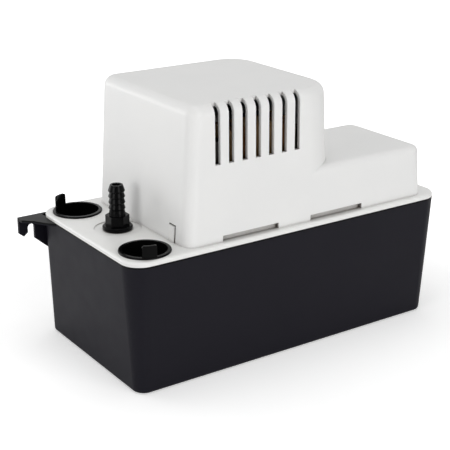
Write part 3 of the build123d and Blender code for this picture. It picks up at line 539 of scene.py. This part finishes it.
def wrap_tape(centre, size, corner, body, share, thickness):
    """Insulating tape round the middle of the coil, over the last turns."""
    half = size.x * share / 2
    work = bmesh.new()
    rings = []
    for lift, side in ((0, -1), (thickness, -1), (thickness, 1), (0, 1)):
        middle = centre + Vector((side * half, 0, 0))
        path = ring_path(size.y / 2 + lift, size.z / 2 + lift, corner + lift)
        rings.append([work.verts.new(middle + point) for point, _ in path])
    stitch(work, rings)
    mesh = mesh_of(work, "winding_tape", smooth=False)
    settle(placed("winding_tape", mesh), body, "bobbin_plastic")


def make_winding(wire, corner):
    """The coil: its outer turns of wire side by side, the bed under them and the tape over them."""
    low, high = (Vector(end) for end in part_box("coil_winding"))
    centre, size = (low + high) / 2, high - low
    body = nodes["coil_winding"]["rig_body"]
    count = int(size.x / wire)
    first = Vector((low.x + size.x / 2 - (count - 1) * wire / 2, centre.y, centre.z))
    wobble = wire / 10
    repeated("winding_turns", wire_turn(first, size, wire, corner), count, step=(wire, 0, 0),
             wobble=(0, wobble, wobble), seed=11, node_name="coil_winding")
    lay_bed(centre, size, wire, body)
    wrap_tape(centre, size, corner, body, share=0.46, thickness=0.15 * MM)


make_stack_sheets(sheet_pitch=0.8 * MM, sheet_gap=0.08 * MM)
make_winding(wire=0.85 * MM, corner=5.9 * MM)


# ---- screws with crossed recesses -----------------------------------------------------
def islands_of(work):
    """Groups of vertices that hang together."""
    left, groups = set(work.verts), []
    while left:
        group, edge = set(), [left.pop()]
        while edge:
            vertex = edge.pop()
            group.add(vertex)
            near = [link.other_vert(vertex) for link in vertex.link_edges]
            edge.extend(other for other in near if other in left)
            left.difference_update(near)
        groups.append(group)
    return groups


def add_cross(cutter, places):
    """Add a crossed recess to the cutter, in the head of the screw that has its points at places."""
    end_band, arm_width, arm_length, arm_depth = 0.15, 0.11, 0.6, 0.36       # shares of the head's width
    low = Vector([min(place[axis] for place in places) for axis in range(3)])
    high = Vector([max(place[axis] for place in places) for axis in range(3)])
    size, centre = high - low, (low + high) / 2
    odd = [abs(size[axis] - size[axis - 1]) + abs(size[axis] - size[axis - 2]) for axis in range(3)]
    along = odd.index(max(odd))
    head = size[along - 1]

    def reach(end):
        """How far the screw reaches from its axis at one end."""
        near = [place - centre for place in places if abs(place[along] - end) < head * end_band]
        return max(math.sqrt(max(step.length_squared - step[along] ** 2, 0)) for step in near)

    top = centre.copy()
    top[along] = max((high[along], low[along]), key=reach)
    for arm in (along - 1, along - 2):
        scale = Vector((1, 1, 1)) * (head * arm_width)
        scale[arm] = head * arm_length
        scale[along] = head * arm_depth
        shape = Matrix.Translation(top) @ Matrix.Diagonal((*scale, 1))
        box = bmesh.ops.create_cube(cutter, size=1.0)["verts"]
        bmesh.ops.transform(cutter, matrix=shape, verts=box)


def crossed_heads(node_name):
    """Copy of a node of screws with a crossed recess in each head."""
    work, cutter = joined_copy(node_name), bmesh.new()
    for screw in islands_of(work):
        add_cross(cutter, [vertex.co for vertex in screw])
    piece = placed(node_name + "_crossed", mesh_of(work, node_name + "_crossed", smooth=False))
    tool = placed(node_name + "_cutter", mesh_of(cutter, node_name + "_cutter", smooth=False))
    cut = piece.modifiers.new("recesses", "BOOLEAN")
    cut.object = tool
    cut.operation = "DIFFERENCE"
    cut.solver = "EXACT"
    cut.use_self = True
    apply_modifiers(piece)
    bpy.data.objects.remove(tool)
    settle(piece, nodes[node_name]["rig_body"], slot_of[node_name], node_name)


for screw_node in ("column_screws", "casing_screws", "bracket_screws", "switch_screws"):
    crossed_heads(screw_node)


# ---- stage, light and camera --------------------------------------------------------
def seen_directly(tree, *ray_kinds):
    """1 for the named kinds of ray and 0 for the rest."""
    path = add_node(tree, "ShaderNodeLightPath")
    total = path.outputs[ray_kinds[0]]
    for kind in ray_kinds[1:]:
        step = add_node(tree, "ShaderNodeMath", operation="MAXIMUM")
        tree.links.new(total, step.inputs[0])
        tree.links.new(path.outputs[kind], step.inputs[1])
        total = step.outputs["Value"]
    return total


def paper_material(near_lift, near, far):
    """White studio paper that keeps the shadows near the piece and is plain white far from it."""
    recipe = Recipe("studio_paper")
    recipe.shader.inputs["Base Color"].default_value = srgb(248, 248, 248)
    recipe.shader.inputs["Roughness"].default_value = 0.95
    recipe.shader.inputs["Specular IOR Level"].default_value = 0.1
    recipe.shader.inputs["Emission Color"].default_value = (1, 1, 1, 1)
    distance = recipe.add("ShaderNodeVectorMath", operation="LENGTH")
    recipe.link(recipe.place, distance.inputs[0])
    fade = recipe.add("ShaderNodeMapRange", interpolation_type="SMOOTHSTEP")
    fade.inputs["From Min"].default_value = near
    fade.inputs["From Max"].default_value = far
    fade.inputs["To Min"].default_value = near_lift
    fade.inputs["To Max"].default_value = 1.0
    recipe.link(distance.outputs["Value"], fade.inputs["Value"])
    seen = recipe.add("ShaderNodeMath", operation="MULTIPLY")
    recipe.link(fade.outputs["Result"], seen.inputs[0])
    recipe.link(seen_directly(recipe.tree, "Is Camera Ray"), seen.inputs[1])
    recipe.link(seen.outputs["Value"], recipe.shader.inputs["Emission Strength"])
    return recipe.material


def make_floor(reach):
    """Sheet of paper under the piece, just below its foot."""
    drop = 0.2 * MM
    mesh = bpy.data.meshes.new("studio_floor")
    mesh.from_pydata([(-reach, -reach, 0), (reach, -reach, 0), (reach, reach, 0), (-reach, reach, 0)],
                     [], [(0, 1, 2, 3)])
    mesh.materials.append(paper_material(near_lift=0.36, near=0.17, far=0.4))
    floor = placed("studio_floor", mesh)
    floor.location.z = -drop


def softbox(name, place, aim, size, power):
    """Square area lamp at a place, facing aim."""
    lamp = bpy.data.lights.new(name, "AREA")
    lamp.shape = "SQUARE"
    lamp.size = size
    lamp.energy = power
    holder = bpy.data.objects.new(name, lamp)
    holder.location = place
    holder.rotation_euler = (Vector(aim) - Vector(place)).to_track_quat("-Z", "Y").to_euler()
    scene.collection.objects.link(holder)


def make_world(room, backdrop):
    """White backdrop where it is looked at; its light and the dim room in front fill the shadows."""
    room_edge, backdrop_edge = -0.15, 0.45       # direction's Y where the room ends, the backdrop starts
    world = bpy.data.worlds.new("studio_air")
    scene.world = world
    world.use_nodes = True
    tree = world.node_tree
    tree.nodes.clear()

    def light(strength):
        node = add_node(tree, "ShaderNodeBackground")
        node.inputs["Color"].default_value = (1, 1, 1, 1)
        node.inputs["Strength"].default_value = strength
        return node.outputs["Background"]

    def mixed(factor, first, second):
        node = add_node(tree, "ShaderNodeMixShader")
        tree.links.new(factor, node.inputs["Fac"])
        tree.links.new(first, node.inputs[1])
        tree.links.new(second, node.inputs[2])
        return node.outputs["Shader"]

    place = add_node(tree, "ShaderNodeTexCoord").outputs["Generated"]
    parts = add_node(tree, "ShaderNodeSeparateXYZ")
    tree.links.new(place, parts.inputs["Vector"])
    behind = add_node(tree, "ShaderNodeMapRange")
    behind.inputs["From Min"].default_value = room_edge
    behind.inputs["From Max"].default_value = backdrop_edge
    tree.links.new(parts.outputs["Y"], behind.inputs["Value"])
    mirrored = mixed(behind.outputs["Result"], light(room), light(1.0))
    lit = mixed(behind.outputs["Result"], light(room), light(backdrop))
    glossy = mixed(seen_directly(tree, "Is Glossy Ray", "Is Transmission Ray"), lit, mirrored)
    final = mixed(seen_directly(tree, "Is Camera Ray"), glossy, light(1.0))
    output = add_node(tree, "ShaderNodeOutputWorld")
    tree.links.new(final, output.inputs["Surface"])


def make_camera():
    """Camera at its place, level from side to side."""
    lens = bpy.data.cameras.new("studio_camera")
    lens.lens = camera_lens
    lens.sensor_width = camera_sensor
    lens.sensor_fit = "HORIZONTAL"
    lens.clip_end = 20.0
    camera = bpy.data.objects.new("studio_camera", lens)
    camera.location = camera_place
    camera.rotation_euler = (math.radians(90 - camera_dip), 0, math.radians(-camera_turn))
    scene.collection.objects.link(camera)
    scene.camera = camera


make_floor(reach=3.0)
middle = (0.0, 0.0, 0.09)
softbox("key_left", (-1.3, -0.35, 0.4), middle, size=0.55, power=4.0)
softbox("front_fill", (0.25, -1.5, 0.5), middle, size=1.0, power=10.2)
softbox("top", (0.0, 0.1, 1.5), middle, size=1.0, power=5.0)
softbox("rim_back_left", (-0.75, 1.05, 0.22), middle, size=0.6, power=4.0)
make_world(room=0.3, backdrop=0.5)
make_camera()
scene.view_settings.view_transform = "Standard"
